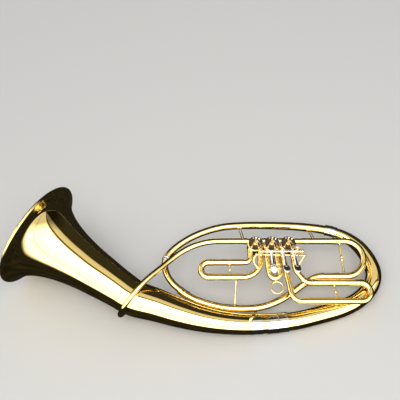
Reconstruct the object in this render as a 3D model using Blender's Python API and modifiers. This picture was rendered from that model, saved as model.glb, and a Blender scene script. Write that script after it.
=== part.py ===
"""Oval tenor tuba with three rotary valves, lying on its back with the levers up.

Every piece is modelled flat, in the instrument's own frame: X runs from the bell to the bottom bow, Y across
the oval, Z up through the valves, and Z = 0 is the plane of the bell and the bow. The empty "instrument"
then lays the whole horn on the floor. Routes and sizes are in millimetres.
"""

import math

import bmesh
import bpy
from mathutils import Matrix, Vector

MM = 0.001
GAP = 0.3
STAY_GAP = 0.45

# How the horn lies: turned about its long and its cross axis until bell, bow and valve side touch the floor.
REST_ROLL = math.radians(12.64)
REST_PITCH = math.radians(5.635)
REST_PLACE = (0.02197, 0.13368, 0.09963)

# Bell
BELL_DIAMETER = 240.0
BELL_AIM = Vector((0.835, -0.550, 0.0)).normalized()
BELL_MOUTH = Vector((-349.0, -82.0, 0.0))
BELL_WALL = 0.9
BELL_FLARE = (
    (0.0, 119.0), (5.0, 110.0), (13.0, 98.5), (25.0, 87.0), (42.0, 76.5), (64.0, 67.0),
    (92.0, 58.5), (128.0, 51.0), (170.0, 45.5), (215.0, 40.5),
)
BELL_TAIL = (
    (-136, -221, 0, 38.0), (-92, -235, 0, 34.5), (-46, -251, 0, 30.5), (0, -264, 0, 26.5),
    (48, -272.5, 0, 23.4), (102, -276, 0, 21.2), (159, -273.1, 0, 19.4),
)

# Bow and branches, as x, y, z and outer radius
BOW = (
    (160.8, -272.9, 0, 18.9), (200, -268, 0, 18.4), (249, -256, 0, 18.2), (291, -244, 0, 17.9),
    (325, -228, 0, 17.5), (349, -208, 0, 17.1), (364, -184, 0, 16.7), (366, -159, 0, 16.1),
    (356, -131, 0, 15.2), (337, -104, 0, 13.6), (309, -83, 0, 11.4), (283, -72.5, 0, 9.8),
)
OUTER_BRANCH = (
    (281, -71.8, 0, 9.6), (249, -66, 0, 9.2), (205, -61.5, 0, 8.8), (150, -59.5, 0, 8.2),
    (95, -59.5, 0, 7.9), (50, -63, 0, 7.7), (10, -74, 0, 7.5), (-26, -91, 0, 7.3),
    (-58, -115, 0, 7.1), (-74, -139, 0, 7.0), (-72, -164, 0, 6.9), (-59, -187, 0, 7.0),
    (-35, -209, 0, 7.0),
)
INNER_BRANCH = (
    (-32.8, -210.8, 0, 7.0), (-12, -222.5, 0, 7.0), (15, -232.3, 0, 7.1),
    (48, -240, 0, 7.2), (90, -243, 0, 7.2),
    (133, -238.5, 0, 7.1), (168, -224.5, 0, 7.0), (196, -206.5, 0, 6.9), (216, -193.5, 5, 6.8),
    (234, -184.5, 19, 6.7), (249, -181, 27.4, 6.6), (262, -181, 28, 6.6), (286, -181, 28, 6.6),
)
LEADPIPE = (
    (99, -104.5, 28, 6.2), (63, -104.5, 28, 6.2), (21, -106, 28, 6.1), (-13, -115, 28, 6.0),
    (-42, -131, 29, 5.9), (-65, -151, 33, 5.8), (-86, -171, 39.5, 5.7), (-107, -191, 45, 5.6),
    (-127, -213, 47.3, 5.5), (-144, -234.5, 43.5, 5.5), (-158, -250, 28, 5.4), (-165.2, -255.9, 3, 5.4),
    (-163.8, -248.4, -24.8, 5.3), (-158.8, -234.3, -40, 5.3), (-152.6, -219.2, -47, 5.2),
)
RECEIVER_LENGTH = 44.0
RECEIVER_RADIUS = 7.9

# Valves
VALVE_X = (116.0, 150.0, 184.0)
VALVE_Y = -115.0
TUBE_Z = 28.0
CASING_RADIUS = 16.3
CASING_BORE = 14.4
CASING_BOTTOM = 13.0
CASING_TOP = 43.0
PORT_OFFSET = 10.5
PORT_RADIUS = 5.7
PORT_BORE = 4.8
STUB_REACH = 16.7
SLIDE_STUB_REACH = 16.5
ROTOR_RADIUS = 13.9
ROTOR_PASSAGE = 4.2
PASSAGE_OFFSET = 8.6
SPINDLE_RADIUS = 2.2
STOP_RADIUS = 12.0
STOP_ANGLES = (-35.0, 112.0)
STOP_APEX = (0.5, 8.5)
STOP_FEET = ((-8.6, -7.8), (6.2, -9.8))
CRANK_RADIUS = 5.2
CRANK_ANGLE = math.radians(45.0)
LINK_Z = 49.6

# Levers
AXLE_Y = -140.0
AXLE_Z = 68.0
AXLE_RADIUS = 2.0
AXLE_ENDS = (124.0, 209.5)
RING_INSET = 5.0
LEVER_X = (146.0, 169.0, 191.0)
LEVER_SKEW = (3.5, 6.0, 6.0)
LEVER_HUBS = ((131.4, 149.0), (164.0, 172.4), (188.4, 201.0))
LINK_ARM_X = (133.6, 166.2, 198.8)
SPRINGS = ((149.6, 163.4), (173.0, 180.2), (180.8, 187.8))
LEVER_TRAVEL = 25.0
LEVER_RISE = 11.0
LEVER_REACH = 38.5
PADDLE_SIZE = (14.0, 20.0, 1.8)
LINK_ARM = 17.0

# Slides
SLEEVE_RADIUS = 6.6
LEG_RADIUS = 5.2
TUBE_WALL = 0.5
MAIN_SEAM = 286.0
SLIDE_1_SEAM = 20.0
SLIDE_3_SEAM = 330.0
SLIDE_2_LEAN = math.radians(7.0)
RING_RADIUS = 12.4
RING_WIRE = 1.6

for old in list(bpy.data.objects):
    bpy.data.objects.remove(old)

horn = bpy.data.collections.new("tenor_tuba")
cutters = bpy.data.collections.new("tools")
bpy.context.scene.collection.children.link(horn)
bpy.context.scene.collection.children.link(cutters)
cutters.hide_render = True

instrument = bpy.data.objects.new("instrument", None)
horn.objects.link(instrument)
instrument.rotation_euler = (REST_ROLL, REST_PITCH, 0.0)
instrument.location = REST_PLACE

METALS = {
    "brass": ((0.80, 0.55, 0.20), 0.16),
    "brass_satin": ((0.74, 0.50, 0.19), 0.30),
    "nickel": ((0.72, 0.70, 0.66), 0.20),
    "steel": ((0.55, 0.55, 0.56), 0.32),
}


def metal(node_name, kind):
    """A metal of its own for one node, in one of the horn's four finishes."""
    color, roughness = METALS[kind]
    material = bpy.data.materials.new(f"{node_name}_{kind}")
    material.use_nodes = True
    shader = material.node_tree.nodes["Principled BSDF"]
    shader.inputs["Base Color"].default_value = (*color, 1.0)
    shader.inputs["Roughness"].default_value = roughness
    shader.inputs["Metallic"].default_value = 1.0
    material.diffuse_color = (*color, 1.0)
    return material


def joint(name, place):
    """An empty on a joint's axis. What it carries keeps coordinates in the instrument's frame."""
    empty = bpy.data.objects.new(name, None)
    horn.objects.link(empty)
    empty.parent = instrument
    empty.location = Vector(place) * MM
    return empty


def seat(thing, carrier):
    """Hang a piece modelled in the instrument's frame on the instrument or on a joint's empty."""
    thing.parent = carrier
    start = Vector((0.0, 0.0, 0.0))
    link = carrier
    while link is not instrument:
        start += link.location
        link = link.parent
    thing.location = thing.location - start
    return thing


def smooth(stations, spacing):
    """A Catmull-Rom curve through stations of x, y, z and radius, with a point every so often."""
    knots = [Vector(station) for station in stations]
    knots = [2 * knots[0] - knots[1], *knots, 2 * knots[-1] - knots[-2]]
    path = []
    for a, b, c, d in zip(knots, knots[1:], knots[2:], knots[3:]):
        steps = max(1, round((c - b).length / spacing))
        for step in range(steps):
            t = step / steps
            bend = (2 * a - 5 * b + 4 * c - d) * t**2 + (3 * b - a - 3 * c + d) * t**3
            path.append(0.5 * (2 * b + (c - a) * t + bend))
    path.append(knots[-2])
    return path


def rounded(corners, bend):
    """Straight runs through corners of x, y, z and radius, with each corner turned in an arc."""
    corners = [Vector(corner) for corner in corners]
    path = [corners[0]]
    for before, corner, after in zip(corners, corners[1:], corners[2:]):
        arrive = (corner.xyz - before.xyz).normalized()
        leave = (after.xyz - corner.xyz).normalized()
        turn = arrive.angle(leave)
        if turn < math.radians(3.0):
            path.append(corner)
            continue
        reach = bend * math.tan(turn / 2)
        center = corner.xyz + (leave - arrive).normalized() * bend / math.cos(turn / 2)
        across = corner.xyz - arrive * reach - center
        axis = arrive.cross(leave).normalized()
        steps = max(1, round(turn / math.radians(30.0)))
        for step in range(steps + 1):
            point = center + Matrix.Rotation(turn * step / steps, 3, axis) @ across
            path.append(Vector((*point, corner.w)))
    path.append(corners[-1])
    return path


def tube(name, path, kind="brass", sides=8, wall=TUBE_WALL, carrier=None, collection=None):
    """A hollow metal tube along points of x, y, z and outer radius."""
    data = bpy.data.curves.new(name, "CURVE")
    data.dimensions = "3D"
    data.bevel_depth = MM
    data.bevel_resolution = (sides - 4) // 2
    data.use_fill_caps = False
    spline = data.splines.new("POLY")
    spline.points.add(len(path) - 1)
    for point, station in zip(spline.points, path):
        point.co = (*(station.xyz * MM), 1.0)
        point.radius = station.w
    spline.use_smooth = True
    thing = bpy.data.objects.new(name, data)
    (collection or horn).objects.link(thing)
    data.materials.append(metal(name, kind))
    shell = thing.modifiers.new("wall", "SOLIDIFY")
    shell.thickness = wall * MM
    shell.offset = -1.0
    return seat(thing, carrier or instrument)


def mesh_piece(name, mesh_maker, kind="brass", carrier=None, collection=None):
    """A mesh object whose bmesh is filled, in millimetres of the instrument's frame, by mesh_maker."""
    shape = bmesh.new()
    mesh_maker(shape)
    bmesh.ops.scale(shape, vec=(MM, MM, MM), verts=shape.verts)
    data = bpy.data.meshes.new(name)
    shape.to_mesh(data)
    shape.free()
    thing = bpy.data.objects.new(name, data)
    (collection or horn).objects.link(thing)
    data.materials.append(metal(name, kind))
    return seat(thing, carrier or instrument)


def facing(start, end):
    """Where a shape made along Z about its own middle stands when it runs from start to end."""
    start, end = Vector(start), Vector(end)
    turn = (end - start).to_track_quat("Z", "Y").to_matrix().to_4x4()
    return Matrix.Translation((start + end) / 2) @ turn


def add_rod(shape, start, end, radius, end_radius=None, sides=12):
    """A cylinder or a cone from start to end."""
    bmesh.ops.create_cone(
        shape, cap_ends=True, segments=sides, radius1=radius, radius2=end_radius or radius,
        depth=(Vector(end) - Vector(start)).length, matrix=facing(start, end),
    )


def add_ball(shape, center, radius):
    bmesh.ops.create_uvsphere(
        shape, u_segments=8, v_segments=5, radius=radius, matrix=Matrix.Translation(center)
    )


def rod(name, start, end, radius, kind="brass", sides=12, **where):
    return mesh_piece(name, lambda shape: add_rod(shape, start, end, radius, sides=sides), kind, **where)


def join(thing, tool_makers, operation="UNION"):
    """Add shapes to a piece, or take them from it, with one Boolean for each."""
    for number, tool_maker in enumerate(tool_makers):
        name = f"{thing.name}_{operation.lower()}_{number}"
        tool = mesh_piece(name, tool_maker, carrier=thing.parent, collection=cutters)
        tool.display_type = "WIRE"
        step = thing.modifiers.new(tool.name, "BOOLEAN")
        step.operation = operation
        step.solver = "EXACT"
        step.object = tool
    return thing


def turned(name, profile, start, toward, kind="brass", steps=16, carrier=None):
    """A piece turned on a lathe: a closed outline of radius and height, spun about the line to toward."""
    shape = bmesh.new()
    corners = [shape.verts.new((radius * MM, 0.0, height * MM)) for radius, height in profile]
    closed = min(radius for radius, height in profile) > 0.0
    for a, b in zip(corners, corners[1:] + corners[:1] if closed else corners[1:]):
        shape.edges.new((a, b))
    data = bpy.data.meshes.new(name)
    shape.to_mesh(data)
    shape.free()
    thing = bpy.data.objects.new(name, data)
    horn.objects.link(thing)
    data.materials.append(metal(name, kind))
    spin = thing.modifiers.new("spin", "SCREW")
    spin.steps = steps
    spin.render_steps = steps
    spin.use_merge_vertices = True
    spin.merge_threshold = 0.00001
    thing.location = Vector(start) * MM
    thing.rotation_euler = (Vector(toward) - Vector(start)).to_track_quat("Z", "Y").to_euler()
    return seat(thing, carrier or instrument)


def stay(name, center_a, radius_a, center_b, radius_b, flange=3.6, shaft=1.5, bulge=2.6, carrier=None):
    """A turned post with a foot at each end, between two tubes' centre lines."""
    center_a, center_b = Vector(center_a), Vector(center_b)
    along = (center_b - center_a).normalized()
    start = center_a + along * (radius_a + STAY_GAP)
    end = center_b - along * (radius_b + STAY_GAP)
    length = (end - start).length
    foot = min(1.4, length / 5)
    middle = length / 2
    profile = [
        (0.0, length), (flange, length), (flange, length - foot * 0.6), (shaft, length - foot),
        (shaft, middle + bulge * 0.8), (bulge, middle), (shaft, middle - bulge * 0.8),
        (shaft, foot), (flange, foot * 0.6), (flange, 0.0), (0.0, 0.0),
    ]
    if length < 2 * (foot + bulge):
        profile = profile[:4] + profile[7:]
    return turned(name, profile, start, end, steps=8, carrier=carrier)


def leaf(name, stations, thickness):
    """A bent strip of plate through stations of x, y, z and half width, wide in its middle."""
    stations = [Vector(station) for station in stations]

    def add_leaf(shape):
        rings = []
        for before, station, after in zip(stations[:1] + stations, stations, stations[1:] + stations[-1:]):
            along = (after.xyz - before.xyz).normalized()
            side = along.cross(Vector((0, 0, 1))).normalized()
            half = side.cross(along) * thickness / 2
            reach = side * station.w
            corners = (-reach - half, reach - half, reach + half, -reach + half)
            rings.append([shape.verts.new(station.xyz + corner) for corner in corners])
        for ring, following in zip(rings, rings[1:]):
            for corner in range(4):
                beside = (corner + 1) % 4
                shape.faces.new((ring[corner], ring[beside], following[beside], following[corner]))
        shape.faces.new(rings[0])
        shape.faces.new(rings[-1])
        bmesh.ops.recalc_face_normals(shape, faces=shape.faces)

    return mesh_piece(name, add_leaf)


def sleeve_ring(name, path, inner, wall, kind="brass", sides=16):
    """A ferrule: a short sleeve standing clear round a joint between two tubes."""
    return tube(name, [Vector((*point.xyz, inner + wall)) for point in path], kind, sides, wall)


def make_bell():
    flare = [Vector((*(BELL_MOUTH + BELL_AIM * along), radius)) for along, radius in BELL_FLARE]
    tube("bell", smooth([*flare[:6]], 14) + smooth([*flare[6:], *BELL_TAIL], 32), sides=16, wall=BELL_WALL)
    edge = BELL_DIAMETER / 2
    bead = [(edge - 3.6, -1.2), (edge - 0.9, -1.2), (edge, -2.4), (edge - 0.9, -4.4), (edge - 3.6, -4.4)]
    turned("bell_rim_bead", bead, BELL_MOUTH, BELL_MOUTH + BELL_AIM, steps=24)


def make_body():
    tube("bottom_bow", smooth(BOW, 34), sides=14, wall=0.8)
    tube("outer_branch", smooth(OUTER_BRANCH, 30), sides=8)
    tube("inner_branch", smooth(INNER_BRANCH, 26), sides=8)
    leadpipe = smooth(LEADPIPE, 16)
    tube("leadpipe", leadpipe, sides=8)
    aim = (leadpipe[-1].xyz - leadpipe[-2].xyz).normalized()
    mouth = leadpipe[-1].xyz + aim * GAP
    profile = [
        (RECEIVER_RADIUS, RECEIVER_LENGTH), (RECEIVER_RADIUS, RECEIVER_LENGTH - 5),
        (RECEIVER_RADIUS - 1, RECEIVER_LENGTH - 6), (5.8, 0), (4.6, 0), (6.0, RECEIVER_LENGTH),
    ]
    turned("mouthpiece_receiver", profile, mouth, mouth + aim)
    bell_joint = [Vector((140, -274.9, 0, 0)), Vector((160, -273, 0, 0)), Vector((180, -270.6, 0, 0))]
    sleeve_ring("bell_ferrule", bell_joint, 21.3, 0.8, "nickel")
    bow_joint = [Vector((291, -75.4, 0, 0)), Vector((283, -72.4, 0, 0)), Vector((272, -70.1, 0, 0))]
    sleeve_ring("bow_ferrule", bow_joint, 11.3, 0.6, "nickel")
    branch_joint = [Vector((-41, -204.2, 0, 0)), Vector((-34, -210, 0, 0)), Vector((-26.5, -214.9, 0, 0))]
    sleeve_ring("branch_ferrule", branch_joint, 8.2, 0.6, "nickel", sides=12)


def make_valve(number, x):
    """One rotary valve with its casing, caps, rotor and stop arm."""
    name = f"valve_casing_{number}"
    center = Vector((x, VALVE_Y, 0.0))
    base = center + Vector((0, 0, CASING_BOTTOM))
    top = center + Vector((0, 0, CASING_TOP))
    stubs = []
    for side in (-1, 1):
        main_port = center + Vector((0, PORT_OFFSET, TUBE_Z))
        stubs.append((main_port + Vector((side * 5, 0, 0)), main_port + Vector((side * STUB_REACH, 0, 0))))
        slide_port = center + Vector((side * PORT_OFFSET, 0, TUBE_Z))
        stubs.append((slide_port - Vector((0, 5, 0)), slide_port - Vector((0, SLIDE_STUB_REACH, 0))))

    def stub(inner, outer, radius, extra):
        aim = (outer - inner).normalized()
        return lambda shape: add_rod(shape, inner, outer + aim * extra, radius, sides=8)

    casing = rod(name, base, top, CASING_RADIUS, sides=18)
    join(casing, [stub(inner, outer, PORT_RADIUS, 0) for inner, outer in stubs])
    rise = Vector((0, 0, 1))
    bores = [lambda shape: add_rod(shape, base - rise, top + rise, CASING_BORE, sides=18)]
    bores += [stub(inner, outer, PORT_BORE, 1) for inner, outer in stubs]
    join(casing, bores, "DIFFERENCE")

    cap = [
        (0.0, 11.0), (CASING_RADIUS - 3.2, 11.0), (CASING_RADIUS - 0.8, CASING_BOTTOM - GAP),
        (CASING_RADIUS + 0.3, CASING_BOTTOM - GAP), (CASING_RADIUS + 0.3, 9.6), (CASING_RADIUS - 2, 8.0),
        (3.0, 7.4), (0.0, 7.4),
    ]
    turned(f"valve_cap_{number}", cap, center, top, steps=12)

    hole = SPINDLE_RADIUS + GAP + 0.1
    plate = turned(
        f"bearing_plate_{number}",
        [(hole, 44.2), (CASING_BORE - 0.5, 44.2), (CASING_BORE - 0.5, 41.6), (hole, 41.6)],
        center, top, steps=14,
    )
    bumpers = [Vector((math.cos(a), math.sin(a), 0)) for a in map(math.radians, STOP_ANGLES)]

    def post(aim):
        foot = aim * STOP_RADIUS + Vector((x, VALVE_Y, 43.0))
        return lambda shape: add_rod(shape, foot, foot + Vector((0, 0, 4.4)), 1.8, sides=8)

    join(plate, [post(aim) for aim in bumpers])

    turning = joint(f"rotor_axis_{number}", (x, VALVE_Y, 44.0))
    body = [
        (0.0, 48.2), (1.4, 48.1), (SPINDLE_RADIUS, 47.7), (SPINDLE_RADIUS, 41.2), (ROTOR_RADIUS, 41.2),
        (ROTOR_RADIUS, 15.0), (SPINDLE_RADIUS, 15.0), (SPINDLE_RADIUS, 11.6), (0.0, 11.6),
    ]
    rotor = turned(f"rotor_{number}", body, center, top, "brass_satin", steps=14, carrier=turning)

    def passage(offset):
        end = Vector((x + 16, VALVE_Y + offset, TUBE_Z))
        return lambda shape: add_rod(shape, end - Vector((32, 0, 0)), end, ROTOR_PASSAGE, sides=8)

    join(rotor, [passage(PASSAGE_OFFSET), passage(-PASSAGE_OFFSET)], "DIFFERENCE")

    hub = center + Vector((0, 0, 45.0))
    arm = rod(f"stop_arm_{number}", hub, hub + Vector((0, 0, 2.6)), 4.4, carrier=turning)
    half = Vector((0, 0, 1.25))
    apex = hub + half + Vector((*STOP_APEX, 0))
    crank = hub + Vector((math.cos(CRANK_ANGLE), math.sin(CRANK_ANGLE), 0)) * CRANK_RADIUS
    legs = [
        lambda shape, foot=foot: add_rod(shape, apex, hub + half + Vector((*foot, 0)), 1.15, 1.25, sides=6)
        for foot in STOP_FEET
    ]
    join(arm, [
        *legs,
        lambda shape: add_rod(shape, apex - half * 0.9, apex + half * 0.95, 2.0, sides=8),
        lambda shape: add_rod(shape, crank + Vector((0, 0, 0.3)), crank + Vector((0, 0, 3.1)), 2.1, sides=10),
    ])
    bore = SPINDLE_RADIUS + GAP
    join(arm, [lambda shape: add_rod(shape, hub - rise, hub + 4 * rise, bore)], "DIFFERENCE")


def make_lever(number, x):
    """One lever with its link arm, and the link that pushes its valve's stop arm."""
    turning = joint(f"lever_axis_{number}", (x, AXLE_Y, AXLE_Z))
    hub_start, hub_end = LEVER_HUBS[number - 1]
    axle = Vector((0, AXLE_Y, AXLE_Z))
    across = Vector((1, 0, 0))
    lever = rod(
        f"lever_{number}", axle + across * hub_start, axle + across * hub_end, 3.4, "nickel", carrier=turning
    )
    tilt = math.radians(LEVER_RISE)
    root = Vector((x, AXLE_Y, AXLE_Z))
    reach = Vector((LEVER_SKEW[number - 1], -math.cos(tilt) * LEVER_REACH, math.sin(tilt) * LEVER_REACH))
    paddle = root + reach
    out = reach.normalized()
    normal = Vector((0, math.sin(tilt), math.cos(tilt)))
    side = normal.cross(-out)
    width, length, thickness = PADDLE_SIZE

    def add_paddle(shape):
        frame = Matrix((-side, -out, normal)).transposed().to_4x4()
        stretch = Matrix.Diagonal((width / 2, length / 2, 1.0, 1.0))
        bmesh.ops.create_cone(
            shape, cap_ends=True, segments=16, radius1=1.0, radius2=1.0, depth=thickness,
            matrix=Matrix.Translation(paddle) @ frame @ stretch,
        )

    swing = math.radians(LEVER_TRAVEL / 2)
    arm_start = Vector((LINK_ARM_X[number - 1], AXLE_Y, AXLE_Z))
    arm_end = arm_start + Vector((0, math.sin(swing), math.cos(swing))) * LINK_ARM
    arm_foot = arm_start + Vector((0, 0, 2.4))
    join(lever, [
        lambda shape: add_rod(shape, root + out * 1.5, paddle, 2.2, 1.6, sides=8),
        add_paddle,
        lambda shape: add_rod(shape, arm_foot, arm_end, 1.5, 1.3, sides=8),
        lambda shape: add_rod(shape, arm_end + across * 1.6, arm_end - across * 4.6, 1.0, sides=8),
    ])
    bore = AXLE_RADIUS + GAP
    join(lever, [
        lambda shape: add_rod(shape, axle + across * (hub_start - 1), axle + across * (hub_end + 1), bore)
    ], "DIFFERENCE")

    eye = arm_end - across * 3.1
    swivel = joint(f"link_axis_{number}", eye - turning.location / MM)
    swivel.parent = turning
    up = Vector((0, 0, 1))
    crank = Vector((VALVE_X[number - 1], VALVE_Y, LINK_Z))
    crank += Vector((math.cos(CRANK_ANGLE), math.sin(CRANK_ANGLE), 0)) * CRANK_RADIUS
    link = rod(f"link_{number}", eye - across * 1.0, eye + across * 1.0, 2.3, "nickel", carrier=swivel)
    aim = (crank - eye).normalized()
    join(link, [
        lambda shape: add_rod(shape, eye + aim * 1.7, crank - aim * 0.5, 0.8, sides=7),
        lambda shape: add_rod(shape, crank - up * 1.05, crank + up * 1.6, 2.4, sides=11),
    ])
    join(link, [
        lambda shape: add_rod(shape, eye - across * 2, eye + across * 2, 1.35, sides=9)
    ], "DIFFERENCE")


def make_spring(number, start, end):
    """A torsion spring wound round the axle beside its lever."""
    turns = 3
    per_turn = 8
    coil = 3.5
    wire = 0.45
    path = []
    for step in range(turns * per_turn + 1):
        angle = 2 * math.pi * step / per_turn
        along = start + wire + (end - start - 2 * wire) * step / (turns * per_turn)
        path.append(Vector((along, AXLE_Y + coil * math.cos(angle), AXLE_Z + coil * math.sin(angle), wire)))
    spring = tube(f"lever_spring_{number}", path, "steel", sides=6)
    spring.modifiers.clear()
    spring.data.use_fill_caps = True


def make_lever_stand():
    """The axle, and the bracket that carries it over the slide tubes."""
    left, right = AXLE_ENDS
    axle = rod("lever_axle", (left, AXLE_Y, AXLE_Z), (right, AXLE_Y, AXLE_Z), AXLE_RADIUS, "nickel")
    join(axle, [
        lambda shape: add_ball(shape, (left, AXLE_Y, AXLE_Z), 3.2),
        lambda shape: add_ball(shape, (right, AXLE_Y, AXLE_Z), 3.2),
    ])
    rail_left, rail_right = Vector((117.5, -139, 44)), Vector((217, -141, 44))
    stand = rod("lever_bracket", rail_left, rail_right, 1.9, sides=8)
    bend = Vector((111.5, -152, 39.5))
    additions = [
        lambda shape: add_ball(shape, rail_left, 3.2),
        lambda shape: add_ball(shape, rail_right, 3.2),
        lambda shape: add_rod(shape, rail_left, bend, 1.7, sides=8),
        lambda shape: add_ball(shape, bend, 1.9),
        lambda shape: add_rod(shape, bend, (119.3, -163.2, TUBE_Z + 6.9), 1.7, sides=8),
        lambda shape: add_rod(shape, rail_right, (202, -163.5, TUBE_Z + 6.9), 1.7, sides=8),
    ]
    rings = [Vector((x, AXLE_Y, AXLE_Z)) for x in (left + RING_INSET, right - RING_INSET)]
    reach = Vector((1.5, 0, 0))
    up = Vector((0, 0, 1))
    for ring in rings:
        foot = Vector((ring.x, -139.6, 44))
        additions += [
            lambda shape, ring=ring: add_rod(shape, ring - reach, ring + reach, 4.2),
            lambda shape, ring=ring, foot=foot: add_rod(shape, ring - up * 3.3, foot, 1.4, sides=8),
        ]
    join(stand, additions)
    bore = AXLE_RADIUS + GAP
    join(stand, [
        lambda shape, ring=ring: add_rod(shape, ring - 3 * reach, ring + 3 * reach, bore) for ring in rings
    ], "DIFFERENCE")


def make_knuckles():
    """Collars between neighbouring casings, hollowed to fit round both of them."""
    for number, x in enumerate(VALVE_X[:-1], start=1):
        across = Vector((1, 0, 0))
        start = Vector((x, VALVE_Y + PORT_OFFSET, TUBE_Z))
        end = start + across * (VALVE_X[number] - x)
        knuckle = rod(f"knuckle_{number}_{number + 1}", start, end, PORT_RADIUS + 1.3, "nickel")
        cuts = [lambda shape: add_rod(shape, start - across, end + across, PORT_RADIUS + GAP)]
        for center_x in (x, VALVE_X[number]):
            center = Vector((center_x, VALVE_Y, 0))
            cuts.append(lambda shape, center=center: add_rod(
                shape, center, center + Vector((0, 0, 60)), CASING_RADIUS + GAP, sides=24
            ))
        join(knuckle, cuts, "DIFFERENCE")


def make_slides():
    y_main = VALVE_Y + PORT_OFFSET
    r, s, z = LEG_RADIUS, SLEEVE_RADIUS, TUBE_Z
    start = VALVE_X[2] + STUB_REACH + GAP
    tube("main_slide_sleeve", [
        Vector((start, y_main, z, 5.9)), Vector((214, y_main, z, 5.9)),
        Vector((218, y_main, z, s)), Vector((MAIN_SEAM, y_main, z, s)),
    ])
    pull = joint("main_slide_axis", (MAIN_SEAM, y_main, z))
    seam = MAIN_SEAM + 0.4
    tube("main_slide", rounded([
        (258, y_main, z, r), (seam, y_main, z, r), (seam + 1, y_main, z, s), (342, y_main, z, s),
        (342, -181, z, s), (seam + 1, -181, z, s), (seam, -181, z, r), (258, -181, z, r),
    ], (y_main + 181) / 2 - 0.01), carrier=pull)
    stay("main_slide_brace", (293.5, y_main, z), s, (300, -181, z), s, bulge=3.6, shaft=2.0, carrier=pull)

    port = VALVE_Y - SLIDE_STUB_REACH - GAP
    tube("slide_1_upper_sleeve", rounded([
        (VALVE_X[0] - PORT_OFFSET, port, z, 5.7), (VALVE_X[0] - PORT_OFFSET, -151, z, 5.7),
        (91, -151, z, 5.9), (87, -151, z, s), (SLIDE_1_SEAM, -151, z, s),
    ], 11))
    tube("slide_1_lower_sleeve", rounded([
        (VALVE_X[0] + PORT_OFFSET, port, z, 5.7), (VALVE_X[0] + PORT_OFFSET, -183, z, 5.9),
        (87, -183, z, s), (SLIDE_1_SEAM, -183, z, s),
    ], 36))
    pull = joint("slide_1_axis", (SLIDE_1_SEAM, -151, z))
    seam = SLIDE_1_SEAM - 0.4
    tube("slide_1", rounded([
        (80, -151, z, r), (seam, -151, z, r), (seam - 1, -151, z, s), (2, -151, z, s),
        (2, -183, z, s), (seam - 1, -183, z, s), (seam, -183, z, r), (80, -183, z, r),
    ], 15.99), carrier=pull)
    stay("slide_1_brace", (62, -151, z), s, (62, -183, z), s)

    axis = Vector((math.sin(SLIDE_2_LEAN), -math.cos(SLIDE_2_LEAN), 0))
    side = Vector((math.cos(SLIDE_2_LEAN), math.sin(SLIDE_2_LEAN), 0))
    origin = Vector((VALVE_X[1], port, z))
    half = PORT_OFFSET * math.cos(SLIDE_2_LEAN)

    def at(across, along, radius):
        return (*(origin + side * across + axis * along), radius)

    for label, sign, first in (("left", -1, -0.2), ("right", 1, 2.4)):
        tube(f"slide_2_{label}_sleeve", [Vector(at(sign * half, a, 6.1)) for a in (first, 34)])
    pull = joint("slide_2_axis", origin + axis * 34)
    tube("slide_2", rounded([
        at(-half, 9, 4.8), at(-half, 34.4, 4.8), at(-half, 35.4, 6.1), at(-half, 43.5 + half, 6.1),
        at(half, 43.5 + half, 6.1), at(half, 35.4, 6.1), at(half, 34.4, 4.8), at(half, 9, 4.8),
    ], half - 0.01), carrier=pull)
    low = 43.5 + half + 6.1 + GAP
    center = origin + axis * (low + RING_WIRE + RING_RADIUS)
    circle = [
        Vector((*(center + Matrix.Rotation(math.radians(a), 3, "Z") @ (side * RING_RADIUS)), RING_WIRE))
        for a in range(0, 360, 20)
    ]
    ring = tube("slide_2_ring", circle, sides=8, carrier=pull)
    ring.modifiers.clear()
    ring.data.splines[0].use_cyclic_u = True

    tube("slide_3_left_sleeve", rounded([
        (VALVE_X[2] - PORT_OFFSET, port, z, 5.7), (VALVE_X[2] - PORT_OFFSET, -138, z, 5.7),
        (191, -234, z, 5.9), (218, -234, z, 6.2), (222, -234, z, s), (SLIDE_3_SEAM, -234, z, s),
    ], 22))
    tube("slide_3_right_sleeve", rounded([
        (VALVE_X[2] + PORT_OFFSET, port, z, 5.7), (VALVE_X[2] + PORT_OFFSET, -137, z, 5.7),
        (199, -168, z, 5.7), (219, -195, z, 5.9),
        (238, -195, z, s), (SLIDE_3_SEAM, -195, z, s),
    ], 20))
    pull = joint("slide_3_axis", (SLIDE_3_SEAM, -195, z))
    seam = SLIDE_3_SEAM + 0.4
    tube("slide_3", rounded([
        (246, -195, z, r), (seam, -195, z, r), (seam + 1, -195, z, s), (351, -195, z, s),
        (351, -234, z, s), (seam + 1, -234, z, s), (seam, -234, z, r), (246, -234, z, r),
    ], 19.49), carrier=pull)
    stay("slide_3_brace", (276.5, -195, z), s + 0.2, (281.5, -234, z), s + 0.2)


def make_stays():
    z = TUBE_Z
    stay("outer_stay_left", (84, -59.5, 0), 8.2, (92, -104.5, z), 6.5)
    stay("outer_stay_right", (232, -64, 0), 10.0, (242, -104.5, z), SLEEVE_RADIUS + 0.4)
    stay("slide_1_stay", (75, -183, z), SLEEVE_RADIUS, (72, -242, 0), 7.3)
    stay("slide_3_stay", (279, -234, z), SLEEVE_RADIUS, (282, -246.7, 0), 18.1, flange=4.2)
    leaf("bell_stay_leaf", [
        (119, -246.5, 7, 1.3), (114.5, -253.5, 16.5, 2.6), (109, -261.5, 22.8, 3.3),
        (104, -269, 25, 2.6), (100, -276, 23.2, 1.3),
    ], 1.6)
    stay("leadpipe_stay", (-66, -152, 33.2), 5.9, (-74.5, -152, 0), 7.2)


make_bell()
make_body()
for number, x in enumerate(VALVE_X, start=1):
    make_valve(number, x)
for number, x in enumerate(LEVER_X, start=1):
    make_lever(number, x)
for number, (start, end) in enumerate(SPRINGS, start=1):
    make_spring(number, start, end)
make_lever_stand()
make_knuckles()
make_slides()
make_stays()
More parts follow.
